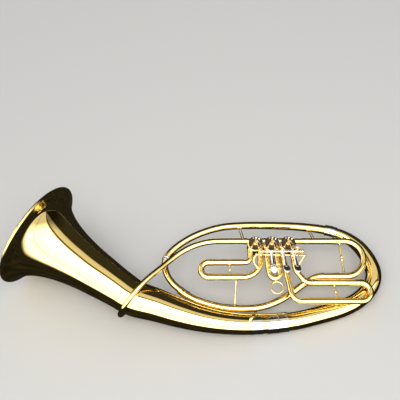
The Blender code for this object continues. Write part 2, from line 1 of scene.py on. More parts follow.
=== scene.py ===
"""Looks of the oval tenor tuba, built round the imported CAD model.

Every piece is made in the instrument's own frame, in millimetres: X runs from the bell to the bottom bow, Y
across the oval, Z up through the valves, and Z = 0 is the plane of the bell and the bow. INSTRUMENT then lays
the horn on the floor, as the CAD model lies.
"""

import math

import bmesh
import bpy
from mathutils import Matrix, Vector


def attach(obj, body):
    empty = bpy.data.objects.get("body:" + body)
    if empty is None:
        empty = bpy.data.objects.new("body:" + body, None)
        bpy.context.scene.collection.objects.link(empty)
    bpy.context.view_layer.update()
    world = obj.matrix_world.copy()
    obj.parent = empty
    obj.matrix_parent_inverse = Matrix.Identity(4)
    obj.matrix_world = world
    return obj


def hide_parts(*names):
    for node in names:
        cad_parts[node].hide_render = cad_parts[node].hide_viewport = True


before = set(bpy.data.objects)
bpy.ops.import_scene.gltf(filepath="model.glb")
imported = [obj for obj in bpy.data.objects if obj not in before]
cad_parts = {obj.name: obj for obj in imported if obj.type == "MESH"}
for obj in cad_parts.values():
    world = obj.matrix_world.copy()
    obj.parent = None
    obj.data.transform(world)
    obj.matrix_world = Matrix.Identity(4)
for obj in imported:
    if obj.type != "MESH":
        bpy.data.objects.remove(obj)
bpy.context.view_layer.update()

MM = 0.001
UP = Vector((0, 0, 1))
ACROSS = Vector((1, 0, 0))

# How the horn lies on the floor
INSTRUMENT = (
    Matrix.Translation((0.02197, 0.13368, 0.09963))
    @ Matrix.Rotation(math.radians(5.635), 4, "Y")
    @ Matrix.Rotation(math.radians(12.64), 4, "X")
)

SHELL_WALL = 0.8
TUBE_WALL = 0.6

# Bell, bow and branches, as x, y, z and outer radius
BELL_AIM = Vector((0.835, -0.550, 0.0)).normalized()
BELL_MOUTH = Vector((-349.0, -82.0, 0.0))
BELL_FLARE = (
    (-1.6, 118.9), (0.0, 118.2), (5.0, 110.0), (13.0, 98.5), (25.0, 87.0), (42.0, 76.5), (64.0, 67.0),
    (92.0, 58.5), (128.0, 51.0), (170.0, 45.5), (215.0, 40.5),
)
BELL_TAIL = (
    (-136, -221, 0, 38.0), (-92, -235, 0, 34.5), (-46, -251, 0, 30.5), (0, -264, 0, 26.5),
    (48, -272.5, 0, 23.4), (102, -276, 0, 21.2), (159, -273.1, 0, 19.4),
)
BOW = (
    (160.8, -272.9, 0, 18.9), (200, -268, 0, 18.4), (249, -256, 0, 18.2), (291, -244, 0, 17.9),
    (325, -228, 0, 17.5), (349, -208, 0, 17.1), (364, -184, 0, 16.7), (366, -159, 0, 16.1),
    (356, -131, 0, 15.2), (337, -104, 0, 13.6), (309, -83, 0, 11.4), (283, -72.5, 0, 9.8),
)
OUTER_BRANCH = (
    (281, -71.8, 0, 9.6), (249, -66, 0, 9.2), (205, -61.5, 0, 8.8), (150, -59.5, 0, 8.2),
    (95, -59.5, 0, 7.9), (50, -63, 0, 7.7), (10, -74, 0, 7.5), (-26, -91, 0, 7.3),
    (-58, -115, 0, 7.1), (-74, -139, 0, 7.0), (-72, -164, 0, 6.9), (-59, -187, 0, 7.0),
    (-35, -209, 0, 7.0),
)
INNER_BRANCH = (
    (-32.8, -210.8, 0, 7.0), (-12, -222.5, 0, 7.0), (15, -232.3, 0, 7.1), (48, -240, 0, 7.2),
    (90, -243, 0, 7.2), (133, -238.5, 0, 7.1), (168, -224.5, 0, 7.0), (196, -206.5, 0, 6.9),
    (216, -193.5, 5, 6.8), (234, -184.5, 19, 6.7), (249, -181, 27.4, 6.6), (262, -181, 28, 6.6),
    (286, -181, 28, 6.6),
)
LEADPIPE = (
    (99, -104.5, 28, 6.2), (63, -104.5, 28, 6.2), (21, -106, 28, 6.1), (-13, -115, 28, 6.0),
    (-42, -131, 29, 5.9), (-65, -151, 33, 5.8), (-86, -171, 39.5, 5.7), (-107, -191, 45, 5.6),
    (-127, -213, 47.3, 5.5), (-144, -234.5, 43.5, 5.5), (-158, -250, 28, 5.4), (-165.2, -255.9, 3, 5.4),
    (-163.8, -248.4, -24.8, 5.3), (-158.8, -234.3, -40, 5.3), (-152.6, -219.2, -47, 5.2),
)

# Valves
VALVE_X = (116.0, 150.0, 184.0)
VALVE_Y = -115.0
TUBE_Z = 28.0
CASING_RADIUS = 16.3
CASING_BORE = 14.4
PORT_OFFSET = 10.5
STUB_REACH = 16.7
SLIDE_STUB_REACH = 16.5
STOP_RADIUS = 12.0
STOP_ANGLES = (-35.0, 112.0)
STOP_APEX = (0.5, 8.5)
STOP_FEET = ((-8.6, -7.8), (6.2, -9.8))
STOP_SCREWS = ((1.6, 12.3), (7.7, 9.7))
CRANK_RADIUS = 5.2
CRANK_ANGLE = math.radians(45.0)
LINK_Z = 49.6

# Levers
AXLE_Y = -140.0
AXLE_Z = 68.0
AXLE_RADIUS = 2.0
AXLE_ENDS = (124.0, 209.5)
RING_INSET = 5.0
LEVER_X = (146.0, 169.0, 191.0)
LEVER_SKEW = (3.5, 6.0, 6.0)
LEVER_HUBS = ((131.4, 149.0), (164.0, 172.4), (188.4, 201.0))
LINK_ARM_X = (133.6, 166.2, 198.8)
SPRINGS = ((149.6, 163.4), (173.0, 180.2), (180.8, 187.8))
LEVER_TRAVEL = 25.0
LEVER_RISE = 11.0
PADDLE_DROOP = (-18.0, 6.0, 6.0)
LEVER_REACH = 38.5
LINK_ARM = 17.0

# Slides
SLEEVE_RADIUS = 6.6
LEG_RADIUS = 5.2
MAIN_SEAM = 286.0
SLIDE_1_SEAM = 20.0
SLIDE_3_SEAM = 330.0
SLIDE_2_LEAN = math.radians(7.0)
RING_RADIUS = 12.4
RING_WIRE = 1.6

# Studio: the white cards' brightness, the card on the left, the sky that lights the floor, the dark round the
# cards, and the gap between them
CARD = 3.4
SIDE_CARD = (1.8, 1.8, 1.75)
PLAIN_SKY = (0.68, 0.68, 0.67)
DARK_ROOM = (0.04, 0.037, 0.026)
GAP = (0.13, 0.12, 0.08)

# Camera, in the instrument's frame
CAMERA_PLACE = (-0.1, -609.7, 1510.4)
CAMERA_TILT = math.radians(22.0)
CAMERA_LENS = 66.6

# In millimetres: how near a path's points count as one place, how near a mesh's points are merged, and how
# short a side an outline ignores
SAME_PLACE = 0.001
MERGE_DISTANCE = 0.00001
NO_LENGTH = 0.000001

# Faces that meet at more than SHARP_EDGE keep a crisp edge, and outlines that turn more than CORNER are eased
SHARP_EDGE = math.radians(38.0)
CORNER = math.radians(18.0)


# --- Shapes -------------------------------------------------------------------------------------------------


def smooth(stations, spacing=4.0):
    """A Catmull-Rom curve through stations of x, y, z and radius, with a point every so often."""
    knots = [Vector(station) for station in stations]
    knots = [2 * knots[0] - knots[1], *knots, 2 * knots[-1] - knots[-2]]
    path = []
    for a, b, c, d in zip(knots, knots[1:], knots[2:], knots[3:]):
        steps = max(1, round((c - b).length / spacing))
        for step in range(steps):
            t = step / steps
            bend = (2 * a - 5 * b + 4 * c - d) * t**2 + (3 * b - a - 3 * c + d) * t**3
            path.append(0.5 * (2 * b + (c - a) * t + bend))
    path.append(knots[-2])
    return path


def rounded(corners, bend, turn_step=6.0):
    """Straight runs through corners of x, y, z and radius, with each corner turned in an arc."""
    corners = [Vector(corner) for corner in corners]
    path = [corners[0]]
    for before, corner, after in zip(corners, corners[1:], corners[2:]):
        arrive = (corner.xyz - before.xyz).normalized()
        leave = (after.xyz - corner.xyz).normalized()
        turn = arrive.angle(leave)
        if turn < math.radians(3.0):
            path.append(corner)
            continue
        reach = bend * math.tan(turn / 2)
        center = corner.xyz + (leave - arrive).normalized() * bend / math.cos(turn / 2)
        across = corner.xyz - arrive * reach - center
        axis = arrive.cross(leave).normalized()
        steps = max(1, round(turn / math.radians(turn_step)))
        for step in range(steps + 1):
            point = center + Matrix.Rotation(turn * step / steps, 3, axis) @ across
            path.append(Vector((*point, corner.w)))
    path.append(corners[-1])
    return path


def skin(shape, rings, closed=False):
    """Faces between rings of vertices. A ring of one vertex is a pole."""
    made = [[shape.verts.new(point) for point in ring] for ring in rings]
    pairs = list(zip(made, made[1:]))
    if closed:
        pairs.append((made[-1], made[0]))
    for low, high in pairs:
        count = max(len(low), len(high))
        for step in range(count):
            after = (step + 1) % count
            lower = [low[step % len(low)], low[after % len(low)]]
            upper = [high[after % len(high)], high[step % len(high)]]
            shape.faces.new(list(dict.fromkeys(lower + upper)))
    return made


def direction(points, number, loop):
    """The way that a path runs at one of its points, past other points in the same place."""
    last = len(points) - 1
    for reach in range(1, last + 1):
        before = points[number - reach if loop else max(number - reach, 0)]
        after = points[(number + reach) % (last + 1) if loop else min(number + reach, last)]
        if (after - before).length > SAME_PLACE:
            return (after - before).normalized()


def sweep(shape, path, sides=40, wall=None, squeeze=(1.0, 1.0), loop=False, first_side=None):
    """A round bar along points of x, y, z and radius, or a pipe where it has a wall."""
    points = [Vector(point).xyz for point in path]
    tangents = [direction(points, number, loop) for number in range(len(points))]
    side = first_side or tangents[0].cross(UP if abs(tangents[0].z) < 0.9 else ACROSS)
    outer, inner = [], []
    for point, tangent, station in zip(points, tangents, path):
        side = (side - tangent * side.dot(tangent)).normalized()
        up = tangent.cross(side)
        arms = [
            side * (math.cos(angle) * squeeze[0]) + up * (math.sin(angle) * squeeze[1])
            for angle in (2 * math.pi * step / sides for step in range(sides))
        ]
        radius = Vector(station)[3]
        outer.append([point + arm * radius for arm in arms])
        if wall:
            inner.append([point + arm * (radius - wall) for arm in arms])
    if wall:
        skin(shape, outer + inner[::-1], closed=True)
    elif loop:
        skin(shape, outer, closed=True)
    else:
        skin(shape, [[points[0]], *outer, [points[-1]]])


def eased(profile, radius, closed):
    """The outline with each sharp corner cut to a small round, so that its edge catches the light."""
    points = [Vector(point) for point in profile]
    count = len(points)
    result = []
    for number, point in enumerate(points):
        if not closed and number in (0, count - 1):
            result.append(point)
            continue
        before, after = points[number - 1], points[(number + 1) % count]
        arrive, leave = point - before, after - point
        if min(arrive.length, leave.length) < NO_LENGTH or abs(arrive.angle_signed(leave)) < CORNER:
            result.append(point)
            continue
        cut = min(radius, 0.42 * arrive.length, 0.42 * leave.length)
        start = point - arrive.normalized() * cut
        end = point + leave.normalized() * cut
        for t in (0.0, 0.33, 0.67, 1.0):
            result.append((1 - t) ** 2 * start + 2 * t * (1 - t) * point + t**2 * end)
    return result


def lathe(shape, profile, start, toward, steps=48, ease=0.25, knurl=None):
    """A shape turned from an outline of radius and height.

    knurl is the least radius that it cuts, and its depth.
    """
    start = Vector(start)
    axis = (Vector(toward) - start).normalized()
    side = axis.cross(UP if abs(axis.z) < 0.9 else ACROSS).normalized()
    up = axis.cross(side)
    solid = min(radius for radius, height in profile) <= 0.0
    outline = eased(profile, ease, not solid)
    rings = []
    for radius, height in outline:
        if radius <= 0.0:
            rings.append([start + axis * height])
            continue
        ring = []
        for step in range(steps):
            angle = 2 * math.pi * step / steps
            reach = radius - knurl[1] * (step % 2) if knurl and radius > knurl[0] else radius
            ring.append(start + axis * height + (side * math.cos(angle) + up * math.sin(angle)) * reach)
        rings.append(ring)
    skin(shape, rings, closed=not solid)


def ball(shape, center, radius, axis=UP, steps=28):
    turns = [math.pi * step / 14 for step in range(15)]
    arc = [(radius * math.sin(turn), -radius * math.cos(turn)) for turn in turns]
    arc[0] = (0.0, -radius)
    arc[-1] = (0.0, radius)
    lathe(shape, arc, center, Vector(center) + Vector(axis), steps, ease=0.0)


def bar(shape, start, end, radius, end_radius=None, steps=24, ease=0.2):
    """A round bar with eased ends."""
    length = (Vector(end) - Vector(start)).length
    outline = [(0.0, 0.0), (radius, 0.0), (end_radius or radius, length), (0.0, length)]
    lathe(shape, outline, start, end, steps, ease)


def at_distance(path, distance):
    """The point of a path that lies a distance along it, and the path's direction there."""
    left = distance
    for before, after in zip(path, path[1:]):
        length = (after.xyz - before.xyz).length
        if left <= length or after is path[-1]:
            return before.xyz.lerp(after.xyz, left / length), (after.xyz - before.xyz).normalized()
        left -= length


def length_of(path):
    return sum((after.xyz - before.xyz).length for before, after in zip(path, path[1:]))


def sleeve(shape, path, profile, wall, sides=48):
    """A ferrule along a path: outer radii at distances along it, with eased steps between them."""
    outline = eased([(radius, distance) for radius, distance in profile], 0.3, False)
    stations = []
    for radius, distance in outline:
        point, aim = at_distance(path, distance)
        stations.append(Vector((*point, radius)))
    sweep(shape, stations, sides, wall)


def collar(shape, path, distance, inner, height, width):
    """A raised band with a bead at each edge, round a tube at a distance along its path."""
    edge = inner + height
    sleeve(shape, path, [
        (inner - 0.1, distance - width / 2), (edge, distance - width / 2), (edge, distance - width / 4),
        (edge - height * 0.35, distance - width / 5), (edge - height * 0.35, distance + width / 5),
        (edge, distance + width / 4), (edge, distance + width / 2), (inner - 0.1, distance + width / 2),
    ], height + 0.4)


def piece(name, body, finish, maker, nodes=()):
    """An object filled by maker in millimetres of the instrument's frame, riding on its body."""
    slot, material = finish
    shape = bmesh.new()
    maker(shape)
    bmesh.ops.remove_doubles(shape, verts=shape.verts, dist=MERGE_DISTANCE)
    bmesh.ops.recalc_face_normals(shape, faces=shape.faces)
    bmesh.ops.scale(shape, vec=(MM, MM, MM), verts=shape.verts)
    for face in shape.faces:
        face.smooth = True
    data = bpy.data.meshes.new(name)
    shape.to_mesh(data)
    shape.free()
    data.set_sharp_from_angle(angle=SHARP_EDGE)
    thing = bpy.data.objects.new(name, data)
    bpy.context.scene.collection.objects.link(thing)
    data.transform(INSTRUMENT)
    data.materials.append(material)
    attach(thing, body)
    if nodes:
        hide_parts(*nodes)


# --- Materials ----------------------------------------------------------------------------------------------


def noise(tree, vector, scale, detail, **inputs):
    """A noise texture's pattern."""
    inputs = {"Vector": vector, "Scale": scale, "Detail": detail, **inputs}
    return node(tree, "ShaderNodeTexNoise", inputs).outputs["Fac"]


def spread(tree, value, low, high, to_low, to_high):
    """A value's stretch from low to high, mapped to another stretch."""
    return node(tree, "ShaderNodeMapRange", {
        "Value": value, "From Min": low, "From Max": high, "To Min": to_low, "To Max": to_high,
    }).outputs["Result"]


def blended(tree, factor, first, second, **settings):
    """A mix of two colours."""
    inputs = {"Factor": factor, "A": first, "B": second}
    return node(tree, "ShaderNodeMix", inputs, data_type="RGBA", **settings).outputs["Result"]


def worked(tree, operation, first, second):
    """The result of a Math node."""
    return node(tree, "ShaderNodeMath", {0: first, 1: second}, operation=operation).outputs["Value"]


def node(tree, kind, inputs=(), **settings):
    """A shader node with some settings and some inputs, which are values or other nodes' outputs."""
    made = tree.nodes.new(kind)
    for key, value in settings.items():
        setattr(made, key, value)
    for key, value in dict(inputs).items():
        if isinstance(value, bpy.types.NodeSocket):
            tree.links.new(value, made.inputs[key])
        else:
            made.inputs[key].default_value = value
    return made


def ramp(tree, source, stops):
    made = node(tree, "ShaderNodeValToRGB", {"Fac": source})
    elements = made.color_ramp.elements
    for number, (place, color) in enumerate(stops):
        element = elements[number] if number < 2 else elements.new(place)
        element.position = place
        element.color = (*color, 1.0) if len(color) == 3 else color
    return made.outputs["Color"]


def grey(level):
    return (level, level, level)


def metal(name, color, tarnish_and_shade, roughness, smudge, wave, lacquer=0.0, tint=(1.0, 1.0, 1.0), grain=0.0):
    """A polished metal: painted shade darkens its corners, and it is deeper in random tarnish patches,
    smudged by hands, with fine lines from buffing.

    roughness and smudge are the clean and the smudged roughness, and wave the depth of its slow unevenness.
    lacquer is the weight of its clear coat, tint the colour of its edges, and grain how far it is brushed.
    """
    material = bpy.data.materials.new(name)
    material.use_nodes = True
    tree = material.node_tree
    shader = tree.nodes["Principled BSDF"]
    place = node(tree, "ShaderNodeTexCoord").outputs["Object"]

    patches = noise(tree, place, 22.0, 4.0, Roughness=0.6)
    prints = noise(tree, place, 65.0, 6.0, Roughness=0.72, Distortion=0.8)
    buffing = node(tree, "ShaderNodeMapping", {"Vector": place, "Scale": (350.0, 4200.0, 900.0)})
    lines = noise(tree, buffing.outputs["Vector"], 1.0, 2.0)
    crossing = node(tree, "ShaderNodeMapping", {
        "Vector": place, "Rotation": (0.4, 0.7, 0.9), "Scale": (3600.0, 260.0, 700.0),
    })
    hairs = noise(tree, crossing.outputs["Vector"], 1.0, 1.0)

    # Painted shade: wherever ambient occlusion finds other surfaces within a few millimetres, in corners and
    # between parts, the base colour darkens to the second, darker colour. That colour also tints the real
    # tarnish patches.
    corners = node(tree, "ShaderNodeAmbientOcclusion", {"Distance": 0.0035}, samples=6, only_local=False)
    tarnished = [0.72 * clean + 0.28 * dull for clean, dull in zip(color, tarnish_and_shade)]
    tarnish = blended(
        tree, ramp(tree, patches, [(0.35, grey(0.0)), (0.72, grey(0.55))]), (*color, 1.0), (*tarnished, 1.0)
    )
    painted_shade = ramp(tree, corners.outputs["AO"], [(0.12, grey(1.0)), (0.62, grey(0.0))])
    tree.links.new(blended(tree, painted_shade, tarnish, (*tarnish_and_shade, 1.0)), shader.inputs["Base Color"])

    handled = spread(tree, prints, 0.42, 0.72, roughness, smudge)
    scratched = spread(tree, hairs, 0.66, 0.74, 0.0, 0.10)
    brushed = spread(tree, lines, 0.3, 0.7, 0.0, 0.02 + grain)
    rough = worked(tree, "ADD", worked(tree, "ADD", handled, scratched), brushed)
    tree.links.new(rough, shader.inputs["Roughness"])

    uneven = node(tree, "ShaderNodeBump", {
        "Height": noise(tree, place, 38.0, 1.5, Roughness=0.4), "Strength": 1.0, "Distance": wave * MM,
    })
    fine = node(tree, "ShaderNodeBump", {
        "Height": lines, "Normal": uneven.outputs["Normal"], "Strength": 1.0,
        "Distance": (0.0006 + 0.012 * grain) * MM,
    })
    tree.links.new(fine.outputs["Normal"], shader.inputs["Normal"])
    shader.inputs["Metallic"].default_value = 1.0
    shader.inputs["Specular Tint"].default_value = (*tint, 1.0)
    shader.inputs["Coat Weight"].default_value = lacquer
    shader.inputs["Coat Roughness"].default_value = 0.03
    shader.inputs["Coat IOR"].default_value = 1.5
    return material


def matte(name, color, speckle, roughness, scale, bump):
    """A dull material, such as cork, with speckles and a fine rough surface."""
    material = bpy.data.materials.new(name)
    material.use_nodes = True
    tree = material.node_tree
    shader = tree.nodes["Principled BSDF"]
    place = node(tree, "ShaderNodeTexCoord").outputs["Object"]
    grains = noise(tree, place, scale, 5.0, Roughness=0.7)
    tree.links.new(ramp(tree, grains, [(0.35, color), (0.7, speckle)]), shader.inputs["Base Color"])
    rough = node(tree, "ShaderNodeBump", {"Height": grains, "Strength": 0.6, "Distance": bump * MM})
    tree.links.new(rough.outputs["Normal"], shader.inputs["Normal"])
    shader.inputs["Roughness"].default_value = roughness
    return material


# Each finish is the record's slot that it belongs to, and its material
BRASS = ("lacquered_brass", metal(
    "lacquered_brass", (0.90, 0.68, 0.25), (0.40, 0.25, 0.07), roughness=0.025, smudge=0.085, wave=0.008,
    lacquer=0.5, tint=(1.0, 0.96, 0.82),
))
SOLDERED = ("lacquered_brass", metal(
    "ferrule_brass", (0.88, 0.66, 0.25), (0.36, 0.22, 0.07), roughness=0.05, smudge=0.13, wave=0.004,
    lacquer=0.4, tint=(1.0, 0.96, 0.84),
))
AGED = ("lacquered_brass", metal(
    "aged_brass", (0.10, 0.062, 0.040), (0.04, 0.025, 0.015), roughness=0.22, smudge=0.34, wave=0.002,
    grain=0.08,
))
SATIN = ("rotor_brass", metal(
    "satin_brass", (0.80, 0.56, 0.21), (0.33, 0.20, 0.07), roughness=0.20, smudge=0.30, wave=0.002,
    grain=0.08,
))
NICKEL = ("nickel_silver", metal(
    "polished_nickel", (0.82, 0.79, 0.72), (0.32, 0.29, 0.24), roughness=0.06, smudge=0.15, wave=0.003,
))
STEEL = ("spring_steel", metal(
    "spring_steel", (0.56, 0.56, 0.58), (0.16, 0.15, 0.14), roughness=0.22, smudge=0.34, wave=0.001,
    grain=0.06,
))
CORK = ("lacquered_brass", matte(
    "pale_cork", (0.66, 0.55, 0.38), (0.50, 0.37, 0.22), roughness=0.8, scale=900.0, bump=0.06,
))


# --- Bell, bow and branches ---------------------------------------------------------------------------------


def make_bell():
    stations = [(*(BELL_MOUTH + BELL_AIM * along), radius) for along, radius in BELL_FLARE] + list(BELL_TAIL)
    path = smooth(stations, 3.0)
    piece("bell_shell", "horn", BRASS, lambda shape: sweep(shape, path, 112, SHELL_WALL), ["bell"])
    wire = [
        (117.8 + 1.75 * math.cos(angle), -2.7 + 1.75 * math.sin(angle))
        for angle in (2 * math.pi * step / 18 for step in range(18))
    ]
    piece("rim_bead", "horn", BRASS, lambda shape: lathe(
        shape, wire, BELL_MOUTH, BELL_MOUTH + BELL_AIM, 168, ease=0.0
    ), ["bell_rim_bead"])

    joint = smooth([(138, -275.0, 0, 0), (160, -273, 0, 0), (182, -270.3, 0, 0)], 2.0)

    def ferrule(shape):
        sleeve(shape, joint, [
            (20.2, 0.4), (21.3, 0.4), (21.3, 2.2), (20.8, 2.8), (20.4, 19.0), (20.8, 19.8), (20.8, 22.4),
            (20.3, 23.2), (20.0, 40.4), (20.4, 41.0), (20.4, 43.0), (18.9, 43.2),
        ], 0.9, 72)

    piece("bell_joint_ferrule", "horn", NICKEL, ferrule, ["bell_ferrule"])

    tail = smooth(BELL_TAIL, 2.0)
    start = length_of(tail[:-1]) - 52.0

    def band(shape):
        sleeve(shape, tail, [
            (21.0, start), (21.7, start), (21.7, start + 1.6), (21.4, start + 2.2), (20.9, start + 20.0),
            (21.2, start + 20.6), (21.2, start + 22.0), (20.2, start + 22.0),
        ], 0.6, 72)

    piece("bell_tail_band", "horn", NICKEL, band)


def make_body():
    bow = smooth(BOW, 3.0)
    piece("bow", "horn", BRASS, lambda shape: sweep(shape, bow, 72, SHELL_WALL), ["bottom_bow"])
    outer = smooth(OUTER_BRANCH)
    piece("outer_branch_tube", "horn", BRASS, lambda shape: sweep(shape, outer, 44, TUBE_WALL),
          ["outer_branch"])

    inner = smooth(INNER_BRANCH)

    def inner_branch(shape):
        sweep(shape, inner, 44, TUBE_WALL)
        length = length_of(inner)
        collar(shape, inner, length - 2.0, 6.6, 0.7, 4.0)
        collar(shape, inner, length - 36.0, 6.6, 0.5, 3.0)

    piece("inner_branch_tube", "horn", BRASS, inner_branch, ["inner_branch"])

    lead = smooth(LEADPIPE)
    aim = (lead[-1].xyz - lead[-2].xyz).normalized()
    mouth = lead[-1].xyz + aim * 0.3

    def leadpipe(shape):
        sweep(shape, lead, 40, TUBE_WALL)
        collar(shape, lead, 3.0, 6.3, 0.8, 6.0)

    piece("leadpipe_tube", "horn", BRASS, leadpipe, ["leadpipe"])
    piece("receiver_socket", "horn", SOLDERED, lambda shape: lathe(shape, [
        (4.6, 0.0), (5.9, 0.0), (6.3, 1.0), (6.0, 2.2), (6.2, 18.0), (6.9, 19.0), (6.9, 20.6), (6.3, 21.6),
        (6.7, 36.0), (7.9, 37.6), (7.9, 42.8), (7.3, 44.0), (6.0, 44.0),
    ], mouth, mouth + aim, 56), ["mouthpiece_receiver"])

    bow_joint = smooth([(293, -76.2, 0, 0), (283, -72.4, 0, 0), (270, -69.6, 0, 0)], 2.0)
    branch_joint = smooth([(-42.5, -203, 0, 0), (-34, -210, 0, 0), (-25, -215.8, 0, 0)], 1.0)

    def ferrule(shape, path, radius, sides):
        length = length_of(path)
        sleeve(shape, path, [
            (radius - 1.2, 0.2), (radius + 0.5, 0.2), (radius + 0.5, 2.0), (radius, 2.6),
            (radius, length * 0.45), (radius + 0.5, length * 0.47), (radius + 0.5, length * 0.53),
            (radius, length * 0.55), (radius, length - 2.6), (radius + 0.5, length - 2.0),
            (radius + 0.5, length - 0.2), (radius - 1.2, length - 0.2),
        ], 0.9, sides)

    piece("bow_joint_ferrule", "horn", NICKEL,
          lambda shape: ferrule(shape, bow_joint, 11.4, 52), ["bow_ferrule"])
    piece("branch_joint_ferrule", "horn", SOLDERED,
          lambda shape: ferrule(shape, branch_joint, 8.3, 44), ["branch_ferrule"])
    piece("branch_band", "horn", NICKEL,
          lambda shape: collar(shape, outer, length_of(outer) - 90.0, 7.1, 0.8, 8.0))


# --- Valves -------------------------------------------------------------------------------------------------


def make_valve(number, x):
    center = Vector((x, VALVE_Y, 0.0))
    hub = center + UP * 45.0
    port_z = UP * TUBE_Z
    body = f"rotor_{number}"

    def casing(shape):
        r = CASING_RADIUS
        lathe(shape, [
            (CASING_BORE, 13.0), (r, 13.0), (r, 15.6), (r - 0.7, 16.4), (r - 0.7, 39.0), (r, 39.8), (r, 41.4),
            (CASING_BORE, 43.0),
        ], center, center + UP, 80)
        for side in (-1, 1):
            for start, aim, reach in (
                (center + Vector((side * 5, PORT_OFFSET, 0)), Vector((side, 0, 0)), STUB_REACH - 5),
                (center + Vector((side * PORT_OFFSET, -5, 0)), Vector((0, -1, 0)), SLIDE_STUB_REACH - 5),
            ):
                start = start + port_z
                lathe(shape, [(4.8, 0), (5.7, 0), (5.7, reach), (4.8, reach)], start, start + aim, 40)

    piece(f"casing_{number}", "horn", BRASS, casing, [f"valve_casing_{number}"])

    def cap(shape):
        r = CASING_RADIUS + 0.3
        lathe(shape, [
            (0.0, 12.5), (13.0, 12.5), (r, 12.6), (r, 9.6), (14.6, 8.2), (11.4, 8.0), (11.0, 8.5), (4.2, 8.5),
            (3.6, 7.4), (0.0, 7.4),
        ], center, center + UP, 132, ease=0.3, knurl=(16.0, 0.35))

    piece(f"back_cap_{number}", "horn", SOLDERED, cap, [f"valve_cap_{number}"])

    posts = [
        hub + Vector((math.cos(a), math.sin(a), 0)) * STOP_RADIUS for a in map(math.radians, STOP_ANGLES)
    ]

    def plate(shape):
        lathe(shape, [
            (2.7, 44.2), (4.2, 44.2), (4.8, 43.7), (11.6, 43.7), (12.1, 44.2), (13.9, 44.2), (13.9, 41.6),
            (2.7, 41.6),
        ], center, center + UP, 72, ease=0.2)
        for post in posts:
            bar(shape, post - UP * 2.0, post - UP * 0.2, 2.3, 1.9, 24)

    piece(f"upper_bearing_{number}", "horn", AGED, plate, [f"bearing_plate_{number}"])

    def bumpers(shape):
        for post in posts:
            bar(shape, post - UP * 0.4, post + UP * 2.5, 1.85, 1.85, 28, ease=0.5)

    piece(f"bumpers_{number}", "horn", CORK, bumpers)

    def screws(shape):
        for spot in STOP_SCREWS:
            foot = center + Vector((*spot, 44.0))
            lathe(shape, [
                (0.0, 0.0), (1.9, 0.0), (1.9, 0.8), (1.1, 1.2), (1.1, 3.6), (1.8, 4.0), (1.8, 5.2),
                (0.0, 5.6),
            ], foot, foot + UP, 28, ease=0.3)

    piece(f"stop_screws_{number}", "horn", NICKEL, screws)

    def spindle(shape):
        lathe(shape, [
            (0.0, 48.2), (1.3, 48.15), (2.15, 47.6), (2.2, 41.2), (13.9, 41.2), (13.9, 15.0), (2.2, 15.0),
            (2.2, 11.6), (0.0, 11.6),
        ], center, center + UP, 48, ease=0.15)

    piece(f"rotor_body_{number}", body, SATIN, spindle, [f"rotor_{number}"])

    def stop_arm(shape):
        half = UP * 1.25
        apex = hub + half + Vector((*STOP_APEX, 0))
        lathe(shape, [
            (2.4, 0.0), (4.4, 0.0), (4.4, 1.9), (3.8, 2.6), (2.4, 2.6),
        ], hub, hub + UP, 40)
        for foot in STOP_FEET:
            foot = hub + half + Vector((*foot, 0))
            aim = (foot - apex).normalized()
            across = aim.cross(UP)
            sweep(shape, [
                (*apex, 1.05), (*apex.lerp(foot, 0.35), 1.15), (*apex.lerp(foot, 0.8), 1.25), (*foot, 1.4),
                (*(foot + aim * 0.5), 1.0),
            ], 20, squeeze=(1.0, 0.92), first_side=across)
            bar(shape, foot - half * 0.95, foot + half * 0.95, 2.2, 2.2, 28, ease=0.8)
        bar(shape, apex - half * 0.9, apex + half * 0.95, 2.0, 2.0, 28, ease=0.4)
        crank = hub + Vector((math.cos(CRANK_ANGLE), math.sin(CRANK_ANGLE), 0)) * CRANK_RADIUS
        bar(shape, crank + UP * 0.3, crank + UP * 3.1, 2.1, 2.1, 28, ease=0.3)

    piece(f"stop_{number}", body, SOLDERED, stop_arm, [f"stop_arm_{number}"])


def make_knuckles():
    for number, x in enumerate(VALVE_X[:-1], start=1):
        middle = Vector(((x + VALVE_X[number]) / 2, VALVE_Y + PORT_OFFSET, TUBE_Z))
        piece(f"valve_knuckle_{number}", "horn", NICKEL, lambda shape: lathe(shape, [
            (5.8, -6.2), (7.0, -6.2), (7.0, -3.6), (6.6, -3.0), (6.6, -1.1), (7.0, -0.7), (7.0, 0.7),
            (6.6, 1.1), (6.6, 3.0), (7.0, 3.6), (7.0, 6.2), (5.8, 6.2),
        ], middle, middle + ACROSS, 48), [f"knuckle_{number}_{number + 1}"])


# --- Levers -------------------------------------------------------------------------------------------------


